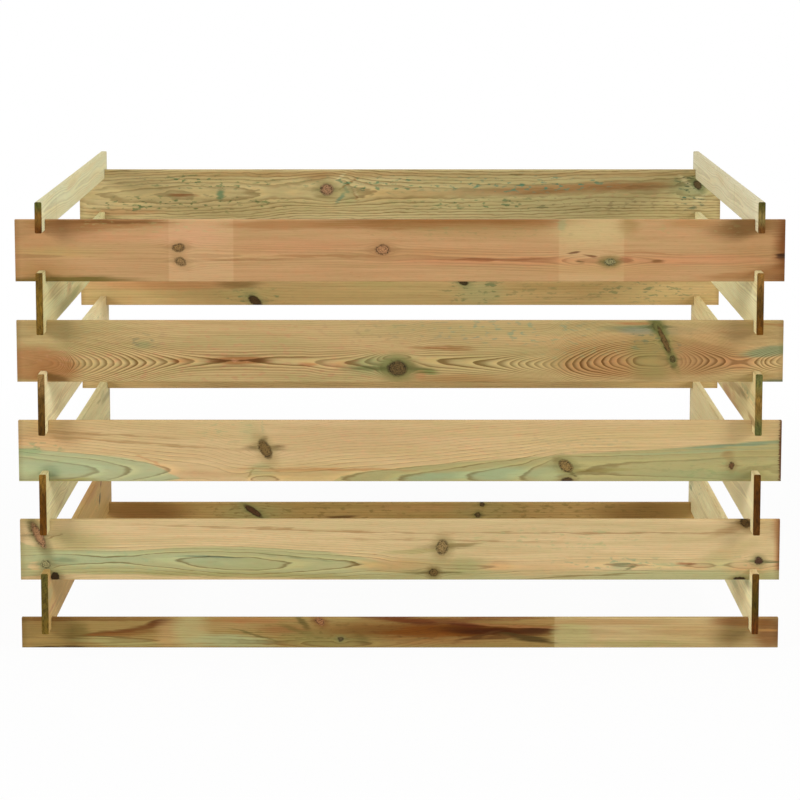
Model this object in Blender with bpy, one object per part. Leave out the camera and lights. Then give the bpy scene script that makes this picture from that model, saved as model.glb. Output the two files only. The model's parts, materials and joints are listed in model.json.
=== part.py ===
"""Slatted wooden compost bin: twenty notched boards, stacked like the logs of a cabin.

Run it with: blender --background --python part.py
Metres, +Z up. The front wall faces -Y. The origin is on the ground, in the middle of the footprint.

Front and back boards run along X, side boards along Y. Every board has notches near its ends, cut
half from the board below and half from the board above, so crossing boards drop into each other and
hold the corner without a nail. The lowest front and back boards and the top side boards are half
boards, which is how the four walls start and end level.
"""

import math

import bmesh
import bpy

# Walls
FRONT_BOARD_LENGTH = 1.200
SIDE_BOARD_LENGTH = 1.000
BOARDS_PER_WALL = 5

# Board section
BOARD_HEIGHT = 0.097
HALF_BOARD_HEIGHT = 0.0485
BOARD_THICKNESS = 0.011
ARRIS_RADIUS = 0.002
ARRIS_SEGMENTS = 3

# Corner joints
FRONT_BOARD_OVERHANG = 0.036   # end of a front or back board, beyond the outer face of the side wall
SIDE_BOARD_OVERHANG = 0.036    # end of a side board, beyond the outer face of the front or back wall
NOTCH_DEPTH = 0.009
NOTCH_PLAY = 0.001             # a notch is this much wider than the board that drops into it
SEAT_GAP = 0.0003              # left between the two notch floors that rest on each other
CUTTER_OVERSHOOT = 0.004       # how far a notch cutter stands out of the board's faces

# What follows from them
JOINT_LAP = 2 * NOTCH_DEPTH - SEAT_GAP
NOTCH_WIDTH = BOARD_THICKNESS + NOTCH_PLAY
SIDE_WALL_X = FRONT_BOARD_LENGTH / 2 - FRONT_BOARD_OVERHANG - BOARD_THICKNESS / 2
FRONT_WALL_Y = SIDE_BOARD_LENGTH / 2 - SIDE_BOARD_OVERHANG - BOARD_THICKNESS / 2

# Pine as it leaves the treatment tank: no two boards the same
PINE_TONES = {
    "pinkish_pine": (0.50, 0.29, 0.14),
    "olive_pine": (0.45, 0.32, 0.15),
    "pale_pine": (0.60, 0.43, 0.21),
    "brown_pine": (0.34, 0.21, 0.08),
}
WALL_TONES = {
    "front": ("brown_pine", "pale_pine", "pale_pine", "olive_pine", "pinkish_pine"),
    "back": ("brown_pine", "pale_pine", "pale_pine", "olive_pine", "olive_pine"),
    "left": ("pale_pine",) * BOARDS_PER_WALL,
    "right": ("pale_pine",) * BOARDS_PER_WALL,
}
PINE_ROUGHNESS = 0.65


def clear_scene():
    """Start from nothing."""
    for old in list(bpy.data.objects):
        bpy.data.objects.remove(old, do_unlink=True)


def add_box(mesh_data, size, centre):
    """Add a box of the given size to a bmesh and return its vertices."""
    box = bmesh.ops.create_cube(mesh_data, size=1.0)["verts"]
    bmesh.ops.scale(mesh_data, vec=size, verts=box)
    bmesh.ops.translate(mesh_data, vec=centre, verts=box)
    return box


def to_object(mesh_data, name):
    """Turn a bmesh into an object in the scene."""
    mesh = bpy.data.meshes.new(name)
    mesh_data.to_mesh(mesh)
    mesh_data.free()
    thing = bpy.data.objects.new(name, mesh)
    bpy.context.scene.collection.objects.link(thing)
    return thing


def planed_bar(name, length, height):
    """A planed bar along X, centred on the origin, with its four long arrises rounded."""
    bar = bmesh.new()
    add_box(bar, (length, BOARD_THICKNESS, height), (0, 0, 0))
    half_length = length / 2
    long_edges = [
        edge for edge in bar.edges
        if abs(edge.verts[0].co.x - edge.verts[1].co.x) > half_length
    ]
    bmesh.ops.bevel(
        bar, geom=long_edges, offset=ARRIS_RADIUS, offset_type="OFFSET",
        segments=ARRIS_SEGMENTS, profile=0.5, affect="EDGES",
    )
    return to_object(bar, name)


def notch_cutter(name, height, crossing_x, top_edge, bottom_edge):
    """The waste of a board's notches: one box for each notch, near both ends."""
    cutter = bmesh.new()
    size = (NOTCH_WIDTH, BOARD_THICKNESS + 2 * CUTTER_OVERSHOOT, NOTCH_DEPTH + CUTTER_OVERSHOOT)
    offset = height / 2 - NOTCH_DEPTH + size[2] / 2
    for end in (-1, 1):
        if top_edge:
            add_box(cutter, size, (end * crossing_x, 0, offset))
        if bottom_edge:
            add_box(cutter, size, (end * crossing_x, 0, -offset))
    waste = to_object(cutter, name)
    waste.hide_render = True
    waste.display_type = "WIRE"
    return waste


def notched_board_mesh(name, length, height, crossing_x, top_edge=True, bottom_edge=True):
    """Plane a bar, saw its notches, and keep the result as a mesh that like boards share."""
    bar = planed_bar(name + "_bar", length, height)
    waste = notch_cutter(name + "_waste", height, crossing_x, top_edge, bottom_edge)
    saw = bar.modifiers.new("saw_notches", "BOOLEAN")
    saw.operation = "DIFFERENCE"
    saw.solver = "EXACT"
    saw.object = waste
    bpy.context.view_layer.update()
    sawn = bar.evaluated_get(bpy.context.evaluated_depsgraph_get())
    mesh = bpy.data.meshes.new_from_object(sawn)
    mesh.name = name
    mesh.materials.clear()
    mesh.materials.append(None)
    for tool in (bar, waste):
        bpy.data.objects.remove(tool, do_unlink=True)
    return mesh


def pine_finish(board_name, tone):
    """A board's own material: treated pine of the given tone."""
    material = bpy.data.materials.new(f"{board_name}_{tone}")
    material.use_nodes = True
    shader = material.node_tree.nodes["Principled BSDF"]
    shader.inputs["Base Color"].default_value = (*PINE_TONES[tone], 1.0)
    shader.inputs["Roughness"].default_value = PINE_ROUGHNESS
    shader.inputs["Metallic"].default_value = 0.0
    return material


def place_course(name, below, height_above_below):
    """An empty that carries one course, so lifting it lifts every course above it too."""
    course = bpy.data.objects.new(name, None)
    course.empty_display_size = 0.05
    course.parent = below
    course.location.z = height_above_below
    bpy.context.scene.collection.objects.link(course)
    return course


def place_board(wall, number, mesh, height, course, position, turn=0.0):
    """Stand one board on its lower edge, in its course."""
    name = f"{wall}_board_{number}"
    board = bpy.data.objects.new(name, mesh)
    bpy.context.scene.collection.objects.link(board)
    board.parent = course
    board.location = (position[0], position[1], height / 2)
    board.rotation_euler.z = turn
    slot = board.material_slots[0]
    slot.link = "OBJECT"
    slot.material = pine_finish(name, WALL_TONES[wall][number - 1])
    return board


def build_bin():
    """Stack the courses from the ground up, front and back boards first."""
    long_full = notched_board_mesh("long_board", FRONT_BOARD_LENGTH, BOARD_HEIGHT, SIDE_WALL_X)
    long_half = notched_board_mesh(
        "long_half_board", FRONT_BOARD_LENGTH, HALF_BOARD_HEIGHT, SIDE_WALL_X, bottom_edge=False
    )
    short_full = notched_board_mesh("short_board", SIDE_BOARD_LENGTH, BOARD_HEIGHT, FRONT_WALL_Y)
    short_half = notched_board_mesh(
        "short_half_board", SIDE_BOARD_LENGTH, HALF_BOARD_HEIGHT, FRONT_WALL_Y, top_edge=False
    )

    course, climb = None, 0.0
    for number in range(1, BOARDS_PER_WALL + 1):
        is_first = number == 1
        mesh, height = (long_half, HALF_BOARD_HEIGHT) if is_first else (long_full, BOARD_HEIGHT)
        course = place_course(f"front_back_course_{number}", course, climb)
        for wall, y in (("front", -FRONT_WALL_Y), ("back", FRONT_WALL_Y)):
            place_board(wall, number, mesh, height, course, (0, y))
        climb = height - JOINT_LAP

        is_last = number == BOARDS_PER_WALL
        mesh, height = (short_half, HALF_BOARD_HEIGHT) if is_last else (short_full, BOARD_HEIGHT)
        course = place_course(f"side_course_{number}", course, climb)
        for wall, x in (("left", -SIDE_WALL_X), ("right", SIDE_WALL_X)):
            place_board(wall, number, mesh, height, course, (x, 0), turn=math.pi / 2)
        climb = height - JOINT_LAP

    bpy.context.view_layer.update()
    return course.matrix_world.translation.z + height


clear_scene()
TOP = build_bin()
print(f"compost bin {FRONT_BOARD_LENGTH:.3f} x {SIDE_BOARD_LENGTH:.3f} m, {TOP:.4f} m high")
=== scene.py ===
# %% [markdown]
# # A slatted wooden compost bin
#
# Twenty sawn pine boards make this bin. They are stacked like the logs of a cabin: every board has
# a notch near each end, half of the joint cut from the board below and half from the board above,
# so the crossing boards drop into each other and no nail is needed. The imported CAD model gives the
# place and the size of every board. This lesson gives each one its own sawn shape and its own
# pressure-treated pine: growth rings, knots, green and brown stains, and dark sawn ends.

import json
import math
import random

import bpy
from mathutils import Matrix, Vector


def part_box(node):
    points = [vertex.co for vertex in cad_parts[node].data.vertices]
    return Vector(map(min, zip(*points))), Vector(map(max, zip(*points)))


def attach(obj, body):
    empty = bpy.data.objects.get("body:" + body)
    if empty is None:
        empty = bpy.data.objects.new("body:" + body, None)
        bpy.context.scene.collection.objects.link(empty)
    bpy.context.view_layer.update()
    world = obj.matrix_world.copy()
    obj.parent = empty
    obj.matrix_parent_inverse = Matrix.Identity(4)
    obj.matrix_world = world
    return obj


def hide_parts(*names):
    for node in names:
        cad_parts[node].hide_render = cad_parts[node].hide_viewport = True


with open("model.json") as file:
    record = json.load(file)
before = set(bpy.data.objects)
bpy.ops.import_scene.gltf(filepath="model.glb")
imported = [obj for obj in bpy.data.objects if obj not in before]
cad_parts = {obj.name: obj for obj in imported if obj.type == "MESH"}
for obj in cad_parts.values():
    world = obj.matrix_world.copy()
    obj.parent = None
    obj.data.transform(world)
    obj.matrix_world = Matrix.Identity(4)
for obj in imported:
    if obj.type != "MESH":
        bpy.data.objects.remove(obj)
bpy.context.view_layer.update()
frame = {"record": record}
record = frame["record"]
body_of_board = {
    board: body
    for body, boards in record["behaviour"]["bodies"].items()
    for board in boards
}

# %% [markdown]
# ## The camera
#
# The picture of a bin like this is taken with a long lens, straight at the front wall and from a
# little above its rim, so that the inside of the side walls and the top of the back wall show. A
# small shift of the lens keeps the boards' ends nearly upright.

# %% Camera
SENSOR_WIDTH = 36.0
LENS_LENGTH = 129.88
CAMERA_Y = -4.934
CAMERA_HEIGHT = 1.1416
CAMERA_TILT = math.radians(7.849)
LENS_SHIFT = -0.1

camera_data = bpy.data.cameras.new("camera")
camera_data.sensor_width = SENSOR_WIDTH
camera_data.lens = LENS_LENGTH
camera_data.shift_y = LENS_SHIFT
camera = bpy.data.objects.new("camera", camera_data)
camera.location = (0, CAMERA_Y, CAMERA_HEIGHT)
camera.rotation_euler = (math.pi / 2 - CAMERA_TILT, 0, 0)
bpy.context.scene.collection.objects.link(camera)
bpy.context.scene.camera = camera

# %% [markdown]
# ## Words for building node trees
#
# A board's shape and its wood are both node trees, with a lot of sums in them. Wiring Math nodes
# one at a time hides the formula, so a `Wire` stands for a node's output and can be added and
# multiplied like a number: `width / 2 + 1` adds a Divide node and an Add node. A `Recipe` adds any
# other node, and fills its inputs with wires or with plain values.


# %% Wires and recipes
class Wire:
    """A node's output that can be used in sums."""

    def __init__(self, recipe, socket):
        self.recipe, self.socket = recipe, socket

    def math(self, operation, *others):
        return self.recipe.add("ShaderNodeMath", (self, *others), operation=operation)

    def __add__(self, other):
        return self.math("ADD", other)

    def __sub__(self, other):
        return self.math("SUBTRACT", other)

    def __rsub__(self, other):
        return self.recipe.add("ShaderNodeMath", (other, self), operation="SUBTRACT")

    def __mul__(self, other):
        return self.math("MULTIPLY", other)

    def __truediv__(self, other):
        return self.math("DIVIDE", other)

    def __pow__(self, other):
        return self.math("POWER", other)

    def __abs__(self):
        return self.math("ABSOLUTE")

    __radd__, __rmul__ = __add__, __mul__

    def rising(self, low, high, top=1.0):
        """0 below low, top above high, and a smooth step between. With low above high it falls."""
        return self.recipe.add(
            "ShaderNodeMapRange",
            {"Value": self, "From Min": low, "From Max": high, "To Max": top},
            interpolation_type="SMOOTHSTEP",
        )


class Recipe:
    """A node tree being built."""

    def __init__(self, tree):
        self.tree = tree

    def node(self, kind, inputs=(), **options):
        """Add a node, choose its options, and fill its inputs, by number or by name."""
        node = self.tree.nodes.new(kind)
        for option, choice in options.items():
            setattr(node, option, choice)
        for where, value in inputs.items() if isinstance(inputs, dict) else enumerate(inputs):
            self.fill(node.inputs[where], value)
        return node

    def fill(self, socket, value):
        """Give an input a wire or a plain value."""
        if isinstance(value, Wire):
            self.tree.links.new(value.socket, socket)
        else:
            socket.default_value = value

    def add(self, kind, inputs=(), output=0, **options):
        """Add a node and return the wire that leaves it."""
        return Wire(self, self.node(kind, inputs, **options).outputs[output])

    def split(self, vector):
        """The three numbers that a vector is made of."""
        return [Wire(self, socket) for socket in self.node("ShaderNodeSeparateXYZ", (vector,)).outputs]


def new_group(name, kind, inputs, outputs):
    """Start a node group with named sockets: (recipe, its input wires by name, its output node)."""
    tree = bpy.data.node_groups.new(name, kind)
    for label, (socket_type, default) in inputs.items():
        socket = tree.interface.new_socket(label, in_out="INPUT", socket_type=socket_type)
        if default is not None:
            socket.default_value = default
    for label, socket_type in outputs.items():
        tree.interface.new_socket(label, in_out="OUTPUT", socket_type=socket_type)
    recipe = Recipe(tree)
    entrance, way_out = recipe.node("NodeGroupInput"), recipe.node("NodeGroupOutput")
    return recipe, {label: Wire(recipe, entrance.outputs[label]) for label in inputs}, way_out


def fill_outputs(recipe, way_out, **wires):
    """Wire a group's results to its output node; a capital letter makes the socket's name."""
    for word, wire in wires.items():
        recipe.fill(way_out.inputs[word.capitalize()], wire)


FLOAT, VECTOR = "NodeSocketFloat", "NodeSocketVector"
print("node words ready")

# %% [markdown]
# ## A board with its notches
#
# A real board is planed, has its four long edges rounded, is cut to length, and then has its notches
# sawn. Geometry Nodes can follow the same steps for every board in the bin. A rounded rectangle is
# swept along a line: that is the planed bar, and its steps along the line let it bow a little, as
# every board does when it dries. Four small blocks, placed from the distance between the crossing
# boards, are taken away from it: those are the notches. The half boards have them on one edge only.
# The bow is nothing at the notches, so the joints stay where the CAD model has them.
#
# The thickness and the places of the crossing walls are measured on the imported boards, so a changed
# CAD model changes the picture too. A board's box doesn't show its notches, so those are given.


# %% Sizes that the boards share
def middle_and_size(node):
    """Where the middle of a packed board is, and how large its box is."""
    low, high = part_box(node)
    return (low + high) / 2, high - low


TO_MICROMETRES = 6          # decimals of a metre
front_middle, front_size = middle_and_size("front_board_2")
side_middle, _ = middle_and_size("right_board_2")
THICKNESS = round(front_size.y, TO_MICROMETRES)
FRONT_CROSSING = round(side_middle.x, TO_MICROMETRES)
SIDE_CROSSING = round(-front_middle.y, TO_MICROMETRES)
NOTCH_PLAY = 0.001          # a notch is this much wider than the board that drops into it
NOTCH_WIDTH = THICKNESS + NOTCH_PLAY
NOTCH_DEPTH = 0.009
print(f"boards {THICKNESS} m thick, crossed {FRONT_CROSSING} and {SIDE_CROSSING} m from the middle")

# %% The tree that saws a board
ARRIS_RADIUS = 0.002
ARRIS_FACETS = 5
STEP_ALONG = 0.010
SAW_OVERSHOOT = 0.004       # how far a block of waste stands out of the board's faces
LENGTHWISE_SHARE = 0.7      # a face whose normal has this much of the board's length is cut across

BOARD_INPUTS = {
    "Length": (FLOAT, front_size.x),
    "Height": (FLOAT, front_size.z),
    "Thickness": (FLOAT, THICKNESS),
    "Crossing": (FLOAT, FRONT_CROSSING),
    "Notch Width": (FLOAT, NOTCH_WIDTH),
    "Notch Depth": (FLOAT, NOTCH_DEPTH),
    "Top Notches": ("NodeSocketBool", True),
    "Bottom Notches": ("NodeSocketBool", True),
    "Bow": (FLOAT, 0.0),
    "Pine": ("NodeSocketMaterial", None),
}


def board_tree():
    """Geometry Nodes: plane a bar, saw its notches, bow it, and mark the faces cut across the grain."""
    recipe, size, way_out = new_group(
        "notched_board", "GeometryNodeTree", BOARD_INPUTS, {"Board": "NodeSocketGeometry"}
    )
    half_length, half_height = size["Length"] / 2, size["Height"] / 2

    # the planed bar
    start = recipe.add("ShaderNodeCombineXYZ", {"X": half_length * -1})
    end = recipe.add("ShaderNodeCombineXYZ", {"X": half_length})
    line = recipe.add("GeometryNodeCurvePrimitiveLine", {"Start": start, "End": end})
    line = recipe.add("GeometryNodeResampleCurve", {"Curve": line, "Length": STEP_ALONG}, mode="LENGTH")
    line = recipe.add("GeometryNodeSetCurveNormal", {"Curve": line}, mode="Z_UP")
    section = recipe.add(
        "GeometryNodeCurvePrimitiveQuadrilateral", {"Width": size["Thickness"], "Height": size["Height"]}
    )
    section = recipe.add(
        "GeometryNodeFilletCurve", {"Curve": section, "Radius": ARRIS_RADIUS, "Count": ARRIS_FACETS},
        mode="POLY",
    )
    bar = recipe.add(
        "GeometryNodeCurveToMesh", {"Curve": line, "Profile Curve": section, "Fill Caps": True}
    )

    # the blocks of waste wood
    block_height = size["Notch Depth"] + SAW_OVERSHOOT
    block_size = recipe.add(
        "ShaderNodeCombineXYZ",
        (size["Notch Width"], size["Thickness"] + 2 * SAW_OVERSHOOT, block_height),
    )
    block = recipe.add("GeometryNodeMeshCube", {"Size": block_size})
    rise = half_height - size["Notch Depth"] + block_height / 2
    waste = recipe.node("GeometryNodeJoinGeometry")
    for edge, up in (("Top Notches", 1), ("Bottom Notches", -1)):
        pair = recipe.node("GeometryNodeJoinGeometry")
        for end_sign in (-1, 1):
            place = recipe.add("ShaderNodeCombineXYZ", {"X": size["Crossing"] * end_sign, "Z": rise * up})
            placed = recipe.add("GeometryNodeTransform", {"Geometry": block, "Translation": place})
            recipe.tree.links.new(placed.socket, pair.inputs[0])
        kept = recipe.add(
            "GeometryNodeSwitch", {"Switch": size[edge], "True": Wire(recipe, pair.outputs[0])},
            input_type="GEOMETRY",
        )
        recipe.tree.links.new(kept.socket, waste.inputs[0])
    sawn = recipe.add(
        "GeometryNodeMeshBoolean", {"Mesh 1": bar, "Mesh 2": Wire(recipe, waste.outputs[0])},
        operation="DIFFERENCE", solver="EXACT",
    )

    # the bow
    position = recipe.add("GeometryNodeInputPosition")
    along = recipe.split(position)[0] / size["Crossing"]
    push = recipe.add("ShaderNodeCombineXYZ", {"Y": size["Bow"] * (1 - along * along)})
    bowed = recipe.add("GeometryNodeSetPosition", {"Geometry": sawn, "Offset": push})

    # the faces cut across the grain
    normal = recipe.add("GeometryNodeInputNormal")
    across = abs(recipe.split(normal)[0]).math("GREATER_THAN", LENGTHWISE_SHARE)
    marked = recipe.add(
        "GeometryNodeStoreNamedAttribute", {"Geometry": bowed, "Name": "end_grain", "Value": across},
        data_type="FLOAT", domain="FACE",
    )
    whole = recipe.add("GeometryNodeRealizeInstances", {"Geometry": marked})
    finished = recipe.add("GeometryNodeSetMaterial", {"Geometry": whole, "Material": size["Pine"]})
    fill_outputs(recipe, way_out, board=finished)
    return recipe.tree


NOTCHED_BOARD = board_tree()
print(f"notched_board tree: {len(NOTCHED_BOARD.nodes)} nodes")

# %% [markdown]
# ## What pine looks like
#
# The wood is described once, as a solid, and each board is a slice of it. Distances are in
# millimetres from the middle of the board: x along it, y through it and z up. A tree adds a ring
# every year, pale wood in spring and a dark line in late summer. A board sawn along the trunk cuts
# those rings at a slant, so its face shows straight lines near the edges and nested arches along the
# line where the cut runs closest to the middle of the tree. One number, the ring count at a point,
# gives all of it: the dark lines are where the count passes a whole number.


# %% Colours and noise
def paint(colour, shade=1.0):
    """A screen colour such as "#c09468" turned into the linear light that shaders use."""
    levels = [shade * byte / 255 for byte in bytes.fromhex(colour[1:])]
    return (*(v / 12.92 if v <= 0.04045 else ((v + 0.055) / 1.055) ** 2.4 for v in levels), 1.0)


def mottle(recipe, point, grain_size, seed, detail=2.0):
    """Noise around zero, from -1 to 1 or so, with blotches of the given size in millimetres."""
    stretch = tuple(1.0 / size for size in grain_size)
    offset = (seed * 3.17, seed * 1.71, seed * 5.39)
    place = recipe.add("ShaderNodeVectorMath", (point, stretch, offset), operation="MULTIPLY_ADD")
    noise = recipe.add("ShaderNodeTexNoise", {"Vector": place, "Scale": 1.0, "Detail": detail})
    return noise * 2 - 1


def blend(recipe, under, over, share, how="MIX"):
    """Lay one colour over another; share is how much of it shows, 0 to 1."""
    node = recipe.tree.nodes.new("ShaderNodeMix")
    node.data_type, node.blend_type, node.clamp_factor = "RGBA", how, True
    named = {socket.identifier: socket for socket in node.inputs}
    for identifier, value in (("Factor_Float", share), ("A_Color", under), ("B_Color", over)):
        recipe.fill(named[identifier], value)
    return Wire(recipe, next(s for s in node.outputs if s.identifier == "Result_Color"))


def tint(recipe, colour, factors, share):
    """Multiply a colour by three factors; share is how much of that shows, 0 to 1."""
    return blend(recipe, colour, (*factors, 1), share, "MULTIPLY")


def curve_along(recipe, x, stations, half_length):
    """A number that changes along the board, through given stations of (x, value)."""
    low = min(value for _, value in stations)
    span = max(max(value for _, value in stations) - low, 1e-6)
    node = recipe.node("ShaderNodeFloatCurve", {"Value": x / (2 * half_length) + 0.5})
    node.mapping.extend = "HORIZONTAL"
    points = node.mapping.curves[0].points
    while len(points) < len(stations):
        points.new(0.5, 0.5)
    for point, (where, value) in zip(points, sorted(stations)):
        point.location = (where / (2 * half_length) + 0.5, (value - low) / span)
        point.handle_type = "AUTO_CLAMPED"
    node.mapping.update()
    return Wire(recipe, node.outputs[0]) * span + low


THROUGH = 1e6       # a patch goes right through the board, so it has no size in that direction


def oval(recipe, point, x, z, half_length, half_height, tilt=0.0):
    """Distance from the middle of an oval patch, 1 at its edge. A Mapping node does the work."""
    inside = recipe.add(
        "ShaderNodeMapping",
        {
            "Vector": point, "Location": (x, 0, z), "Rotation": (0, math.radians(-tilt), 0),
            "Scale": (half_length, THROUGH, half_height),
        },
        vector_type="TEXTURE",
    )
    return recipe.add("ShaderNodeVectorMath", (inside,), output="Value", operation="LENGTH")


print("colour, noise and patch helpers ready")

# %% [markdown]
# ## Knots part the grain
#
# A knot is a branch that the trunk grew around. The rings part and flow round it, as water does round
# a stone. Moving the point where the rings are counted does this: close above a knot, the rings of its
# own middle line are counted, so that line seems to be pushed aside.


# %% The grain parts round a knot
def parting_group():
    """Node group: moves a point so that the rings counted there flow round a knot."""
    recipe, inside, way_out = new_group(
        "grain_parts", "ShaderNodeTree",
        {
            "Point": (VECTOR, None), "X": (FLOAT, 0), "Z": (FLOAT, 0),
            "Radius": (FLOAT, 5), "Reach": (FLOAT, 2),
        },
        {"Parted": VECTOR},
    )
    x, y, z = recipe.split(inside["Point"])
    along = (x - inside["X"]) / inside["Reach"]
    above = z - inside["Z"]
    distance = (along * along + above * above) / (inside["Radius"] * inside["Radius"])
    squeeze = 1 - distance.math("MAXIMUM", 1.0) ** -1.0
    parted = recipe.add("ShaderNodeCombineXYZ", (x, y, inside["Z"] + above * squeeze))
    fill_outputs(recipe, way_out, parted=parted)
    return recipe.tree


GRAIN_PARTS = parting_group()
print("grain_parts group ready")

# %% [markdown]
# ## Latewood lines
#
# Between two whole numbers the count runs through one year: pale, then gradually darker, then a
# sharp edge where the next spring starts. No two summers are alike, so a random number for each year
# makes its line darker or fainter and wider or narrower.


# %% The line that each year leaves
def latewood_group():
    """Node group: from the ring count, how dark the line is there, and where in the year we are."""
    recipe, inside, way_out = new_group(
        "latewood", "ShaderNodeTree", {"Ring": (FLOAT, 0), "Seed": (FLOAT, 0), "Start": (FLOAT, 0.55)},
        {"Line": FLOAT, "Season": FLOAT},
    )
    year = inside["Ring"].math("FLOOR") + inside["Seed"]
    chance = recipe.node("ShaderNodeTexWhiteNoise", {"W": year}, noise_dimensions="1D")
    strength, colour = Wire(recipe, chance.outputs["Value"]), Wire(recipe, chance.outputs["Color"])
    width = Wire(recipe, recipe.node("ShaderNodeSeparateColor", (colour,)).outputs["Green"])
    season = inside["Ring"].math("FRACT")
    start = inside["Start"]
    growing = season.rising(start - width * (0.9 - start) * 0.8, start * 0.3 + 0.68)
    stopping = season.rising(1.0, 0.94)
    fill_outputs(recipe, way_out, line=growing * stopping * (strength * 0.42 + 0.58), season=season)
    return recipe.tree


LATEWOOD = latewood_group()
print("latewood group ready")

# %% [markdown]
# ## A board's notes
#
# The looks of a board are a list of facts, as someone sorting timber would note them: the
# colour of the spring wood, where the middle line of the arches runs and how the rings are counted off
# along it, its knots, its stains, and the pale bands where stacking sticks kept the treatment off. A
# board that has no note on something gets the plain one.

# %% The plain board
PLAIN_BOARD = {
    "spring": "#ccae7c",            # colour between the lines
    "spring_too": "#c6ac76",        # and the colour that it drifts to here and there
    "summer": (0.44, 0.33, 0.22),   # what a line at its darkest multiplies it by
    "faint": 0.35,                  # how much of the lines shows far from the arches
    "ring_width": 3.6,              # mm between lines where they run straight
    "late_start": 0.55,             # share of a year's growth that is pale before the line begins
    "waver": 0.2,                   # how far a line strays from a clean curve, in years
    "uneven": 0.06,                 # how much lighter and darker the wood wanders
    "arris": (1.14, 1.13, 1.08),    # painted highlight: what the wood along the rounded top and bottom edges is multiplied by; below 1 it is painted shade
    "ends": ("#765c32", "#6a4820", "#5c3e1e"),    # sawn end: its colour at the top, middle and foot
    "middle": ((-600, 0), (600, 0)),              # (x, z) of the line along which the arches stand
    # arches: (x, rings counted there, mm up and down that they reach, mm in to the pith, boldness)
    "arches": ((-600, -3, 24, 14, 0.5), (600, -4, 24, 14, 0.5)),
    "tides": (),    # (upper edge, lower edge, colour, share): stain between two contours
    "bands": (),    # (from x, to x, colour, share): sharp-edged, across the board
    "stains": (),   # (x, z, half length, half height, colour, share, softness, tilt): stains, and a few patches of painted shadow and painted light
    "flecks": (),   # (x, z, half length, half height, colour, share): where dots are scattered
    "knots": (),    # (x, z, half length, half height, tilt, parting, face, halo, share of the halo)
}
print(f"{len(PLAIN_BOARD)} kinds of note")

# %% [markdown]
# ## From notes to a material
#
# `pine` turns the notes into a material. It first finds the place on the board and the ring count
# there, and then lays colour over colour in the order in which they came to the wood: spring wood,
# stains, the dark lines, the fibres, the knots, and last the soaked and sawn ends and a painted
# highlight along the rounded top and bottom edges (painted shade on the side boards). A few of the
# noted stains are painted shadow and painted light. Patches are laid at a point that a noise has
# shifted along the grain, so their edges fray as they do where a stain creeps between fibres.


# %% Where the rings are
def use_group(recipe, group, **inputs):
    """Place one of the node groups and return its output wires by name."""
    node = recipe.tree.nodes.new("ShaderNodeGroup")
    node.node_tree = group
    for word, value in inputs.items():
        recipe.fill(node.inputs[word.capitalize()], value)
    return {socket.name: Wire(recipe, socket) for socket in node.outputs}


KNOT_REACH = 2.2        # the grain parts this many times further along the board than across it
BAND_EDGE = 1.5         # mm on either side over which a pale band begins or ends
MILLIMETRE = 0.001
HALF_IN_MM = 500        # a size in metres times this is half of it in millimetres
FACE_TO_MIDDLE = THICKNESS * HALF_IN_MM


def count_rings(recipe, look, point, x, half_length, seed):
    """Follow the rings: the dark line of a year, its palest wood, its season, and two noises."""
    slow = mottle(recipe, point, (260, 40, 45), seed)
    quick = mottle(recipe, point, (38, 12, 9), seed + 1)
    fibre = mottle(recipe, point, (46, 1.3, 0.7), seed + 2, detail=3.0)
    bent = point
    for knot_x, knot_z, _, _, _, parting, *_ in look["knots"]:
        bent = use_group(
            recipe, GRAIN_PARTS, point=bent, x=knot_x, z=knot_z, radius=parting, reach=KNOT_REACH
        )["Parted"]
    _, through, height = recipe.split(bent)
    above = height - curve_along(recipe, x, look["middle"], half_length) + slow * 2.5
    count, reach, pith, bold = (
        curve_along(recipe, x, [(row[0], row[column]) for row in look["arches"]], half_length)
        for column in (1, 2, 3, 4)
    )
    inward = through + FACE_TO_MIDDLE + pith
    straight = ((above * above + inward * inward).math("SQRT") - pith) / look["ring_width"]
    near = (above * above / (reach * reach) * -1).math("EXPONENT")
    ring = count * near + straight + quick * look["waver"] + fibre * 0.08
    year = use_group(recipe, LATEWOOD, ring=ring, seed=seed * 7.0, start=look["late_start"])
    shown = (bold - look["faint"]) * near + look["faint"]
    early = year["Season"].rising(0.45, 0.05) * bold * near
    return year["Line"] * shown, early, year["Season"], quick, fibre


print("ring counting ready")


# %% Stains, painted shading and flecks
def lay_stains(recipe, look, colour, point, x, half_length, season, quick, seed):
    """Lay over the spring wood what has coloured it, and noted patches of painted shadow and light."""
    fray = mottle(recipe, point, (80, 6, 2.0), seed + 3)
    height = recipe.split(point)[2] + quick * 1.2
    ragged = mottle(recipe, point, (50, 7, 4.0), seed + 7)
    frayed = recipe.add("ShaderNodeCombineXYZ", {"X": x + fray * 7, "Z": height + ragged * 5})
    creep = (season - 0.5) * 0.22
    for start, stop, mark, share in look["bands"]:
        begun = x.rising(start - BAND_EDGE, start + BAND_EDGE)
        inside = begun * x.rising(stop + BAND_EDGE, stop - BAND_EDGE, share)
        colour = blend(recipe, colour, paint(mark), inside)
    for upper, lower, stain, share in look["tides"]:
        under = curve_along(recipe, x, upper, half_length) - height + creep * 5
        over = height - curve_along(recipe, x, lower, half_length)
        colour = blend(recipe, colour, paint(stain), under.rising(-1.0, 2.5) * over.rising(-1.0, 2.0, share))
    # some of these patches are painted shadow of the side boards' ends, and one is painted light
    for stain_x, stain_z, length, tall, stain, share, soft, tilt in look["stains"]:
        distance = oval(recipe, frayed, stain_x, stain_z, length, tall, tilt) + creep
        colour = blend(recipe, colour, paint(stain), distance.rising(1 + soft, 1 - soft, share))
    if look["flecks"]:
        dots = mottle(recipe, point, (14, 6, 5.0), seed + 5, detail=3.0).rising(0.10, 0.34)
    for fleck_x, fleck_z, length, tall, fleck, share in look["flecks"]:
        where = oval(recipe, frayed, fleck_x, fleck_z, length, tall).rising(1.5, 0.5, share)
        colour = blend(recipe, colour, paint(fleck), where * dots)
    return colour


print("stains ready")

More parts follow.
